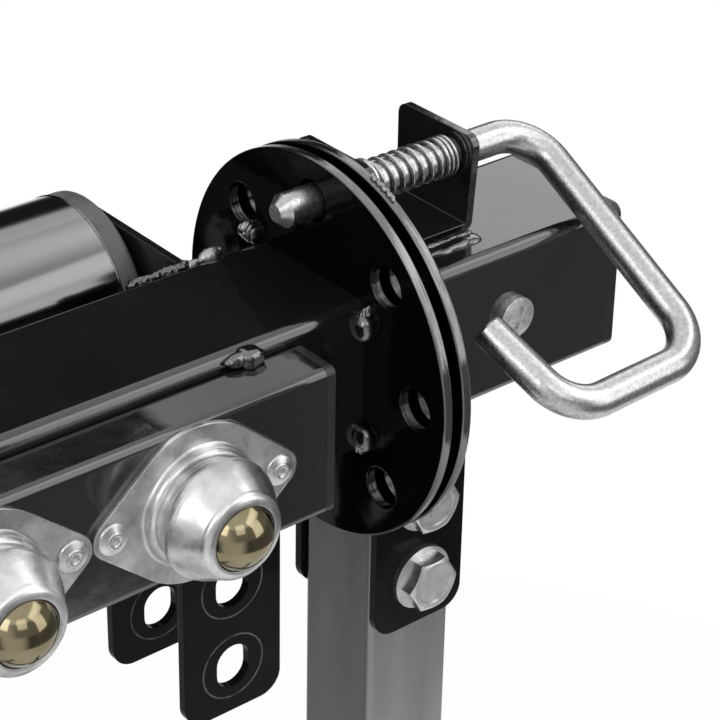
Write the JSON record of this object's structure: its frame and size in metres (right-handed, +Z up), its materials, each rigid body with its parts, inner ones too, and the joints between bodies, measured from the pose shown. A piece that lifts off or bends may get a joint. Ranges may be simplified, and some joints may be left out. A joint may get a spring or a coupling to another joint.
{
  "type": "adjustable support stand",
  "caption": "Height adjustable workshop support stand with an indexed turning head that carries ball transfer units and a roller, with a pull pin lock.",
  "frame": {"origin": "on the floor under the middle of the base", "axes": "+Z up, +X along the head from the free end of the beam towards the lock pin's handle, +Y towards the roller"},
  "size_m": [0.54, 0.46, 0.7926],
  "materials": {
    "black_paint": "gloss black paint",
    "zinc_plate": "zinc plated, slightly worn",
    "galvanised": "galvanised square tube with drawing marks",
    "pressed_zinc": "pressed and zinc plated, soft satin",
    "roller_chrome": "bright plated tube",
    "ball_steel": "polished ball with a golden tint",
    "bearing_steel": "ground steel",
    "grey_plastic": "moulded grey plastic",
    "black_plastic": "moulded black plastic",
    "rubber": "black rubber"
  },
  "bodies": {
    "base": {"base_rail": "black_paint", "foot_tube_left": "black_paint", "foot_tube_right": "black_paint", "foot_end_caps": "black_plastic", "rubber_feet": "rubber", "foot_screws": "zinc_plate", "outer_column": "black_paint", "column_gussets": "black_paint", "column_guide": "black_plastic", "clamp_boss": "black_paint"},
    "clamp": {"clamp_screw": "zinc_plate", "clamp_knob": "black_plastic"},
    "mast": {"inner_post": "galvanised", "post_slider": "grey_plastic", "post_bracket": "black_paint", "post_bolts": "zinc_plate", "post_nuts": "zinc_plate", "stub_tube": "black_paint", "stub_end_cap": "black_plastic", "stub_disc": "black_paint", "pivot_bush_front": "grey_plastic", "pivot_bush_rear": "grey_plastic", "retaining_screw": "zinc_plate", "retaining_nut": "zinc_plate", "plunger_bracket": "black_paint", "plunger_spring": "zinc_plate"},
    "plunger": {"spring_washer": "zinc_plate"},
    "pull_pin": {"lock_pin": "zinc_plate", "roll_pin": "zinc_plate"},
    "head": {"beam_tube": "black_paint", "beam_end_cap": "black_plastic", "side_tube": "black_paint", "side_tube_caps": "black_plastic", "head_disc": "black_paint", "pivot_shaft": "zinc_plate", "socket_bracket": "black_paint", "roller_plate_right": "black_paint", "roller_plate_left": "black_paint", "roller_axle": "zinc_plate", "axle_nuts": "zinc_plate", "ball_housing_1": "pressed_zinc", "ball_housing_2": "pressed_zinc", "ball_housing_3": "pressed_zinc", "ball_housing_4": "pressed_zinc", "ball_cups": "pressed_zinc", "support_balls": "bearing_steel", "ball_rivets": "zinc_plate"},
    "ball_a": {"ball_1": "ball_steel"},
    "ball_b": {"ball_2": "ball_steel"},
    "ball_c": {"ball_3": "ball_steel"},
    "ball_d": {"ball_4": "ball_steel"},
    "roller": {"roller_tube": "roller_chrome", "roller_cap_right": "grey_plastic", "roller_cap_left": "grey_plastic", "roller_bearings": "bearing_steel"}
  },
  "joints": [
    {"name": "post_height", "type": "slide", "parent": "base", "child": "mast", "axis": [0, 0, 1], "range_m": [-0.08, 0.25]},
    {"name": "clamp_knob_turn", "type": "hinge", "parent": "base", "child": "clamp", "pos_m": [0.23, 0, 0.448], "axis": [1, 0, 0], "range_deg": [0, 540]},
    {"name": "head_turn", "type": "hinge", "parent": "mast", "child": "head", "pos_m": [0.1562, 0, 0.72], "axis": [1, 0, 0], "range_deg": [-1.6, 1.6]},
    {"name": "plunger_pull", "type": "slide", "parent": "mast", "child": "plunger", "axis": [1, 0, 0], "range_m": [0, 0.022], "stiffness_N_per_m": 900, "springref_m": -0.011, "deforming": ["plunger_spring"]},
    {"name": "handle_turn", "type": "hinge", "parent": "plunger", "child": "pull_pin", "pos_m": [0.1662, 0, 0.777], "axis": [-1, 0, 0], "range_deg": [-3, 240]},
    {"name": "roller_spin", "type": "hinge", "parent": "head", "child": "roller", "pos_m": [-0.0638, 0.085, 0.72], "axis": [1, 0, 0], "continuous": true},
    {"name": "ball_spin_1", "type": "hinge", "parent": "head", "child": "ball_a", "pos_m": [0.0479, -0.0726, 0.7153], "axis": [1, 0, 0], "continuous": true},
    {"name": "ball_spin_2", "type": "hinge", "parent": "head", "child": "ball_b", "pos_m": [-0.0335, -0.0726, 0.7153], "axis": [1, 0, 0], "continuous": true},
    {"name": "ball_spin_3", "type": "hinge", "parent": "head", "child": "ball_c", "pos_m": [-0.1149, -0.0726, 0.7153], "axis": [1, 0, 0], "continuous": true},
    {"name": "ball_spin_4", "type": "hinge", "parent": "head", "child": "ball_d", "pos_m": [-0.1963, -0.0726, 0.7153], "axis": [1, 0, 0], "continuous": true}
  ]
}
